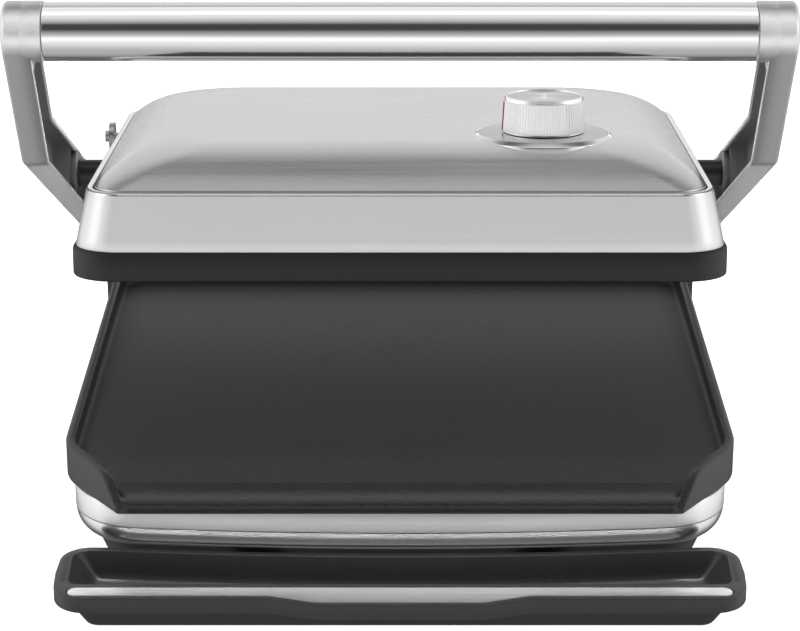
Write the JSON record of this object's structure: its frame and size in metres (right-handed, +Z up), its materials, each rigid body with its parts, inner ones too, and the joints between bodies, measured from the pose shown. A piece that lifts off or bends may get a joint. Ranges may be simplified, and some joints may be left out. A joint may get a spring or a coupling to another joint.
{
  "type": "electric indoor grill with lid",
  "caption": "Countertop electric contact grill with a flat lower plate, a domed steel lid floating between two cast arms, a tubular handle, a dial knob and a drip tray.",
  "frame": {"origin": "centre of the bounding box in plan, on the table", "axes": "+X to the grill's right as its user faces it, +Y to the back, +Z up"},
  "size_m": [0.37, 0.3824, 0.2778],
  "materials": {
    "pan": "satin black moulding",
    "band": "brushed",
    "plate": "dark non-stick coat on cast aluminium",
    "rod": "dull grey sheath",
    "sheet": "plain galvanised sheet",
    "screw": "zinc plated",
    "block": "plain",
    "rubber": "matt",
    "casting": "satin, even",
    "tube": "fine brushed",
    "dark_metal": "satin black",
    "lid_skin": "brushed from side to side",
    "rim": "satin black moulding",
    "knob": "bright plating",
    "knob_top": "spun",
    "tray": "smooth dark grey"
  },
  "bodies": {
    "base": {"base_pan": "pan", "base_band": "band", "lower_plate": "plate", "lower_element": "rod", "lower_element_clamps": "sheet", "lower_heat_shield": "sheet", "thermal_cutout": "sheet", "base_screws": "screw", "rear_housing": "pan", "terminal_block": "block", "cord_gland": "rubber", "feet": "rubber", "hinge_bracket_left": "dark_metal", "hinge_bracket_right": "dark_metal", "bracket_screws": "screw"},
    "hinge": {"hinge_bush_left": "screw", "hinge_bush_right": "screw"},
    "arms": {"arm_left": "casting", "arm_right": "casting", "handle_tube": "tube", "handle_tie_rod": "screw", "pivot_shaft_left": "dark_metal", "pivot_shaft_right": "dark_metal"},
    "lid": {"lid_top_panel": "lid_skin", "lid_band": "lid_skin", "lid_rim": "rim", "lid_frame": "sheet", "upper_plate": "plate", "upper_plate_screws": "screw", "upper_element": "rod", "upper_element_clamps": "sheet", "upper_heat_shield": "sheet", "thermostat": "block", "pivot_bush_left": "block", "pivot_bush_right": "block", "stop_pin": "screw", "stop_disc": "screw", "dial_ring": "band"},
    "dial_knob": {"knob": "knob", "knob_cap": "knob_top", "thermostat_spindle": "screw"},
    "tray": {"drip_tray": "tray", "tray_inlay": "band"}
  },
  "joints": [
    {"name": "lid_open", "type": "hinge", "parent": "base", "child": "hinge", "pos_m": [0, 0.1665, 0.0934], "axis": [-1, 0, 0], "range_deg": [0, 75]},
    {"name": "lid_lower", "type": "hinge", "parent": "hinge", "child": "arms", "pos_m": [0, 0.1665, 0.0934], "axis": [1, 0, 0], "range_deg": [0, 26.8]},
    {"name": "lid_tilt", "type": "hinge", "parent": "arms", "child": "lid", "pos_m": [0, 0.05103, 0.15024], "axis": [-1, 0, 0], "range_deg": [0, 20.4]},
    {"name": "knob_turn", "type": "hinge", "parent": "lid", "child": "dial_knob", "pos_m": [0.0725, -0.00805, 0.18957], "axis": [0, -0.1115, -0.9938], "range_deg": [0, 270]},
    {"name": "tray_slide", "type": "slide", "parent": "base", "child": "tray", "axis": [0, -1, 0], "range_m": [0, 0.12]}
  ],
  "couplings": [
    {"joint": "lid_tilt", "follows": "lid_lower", "ratio": 0.76119}
  ]
}
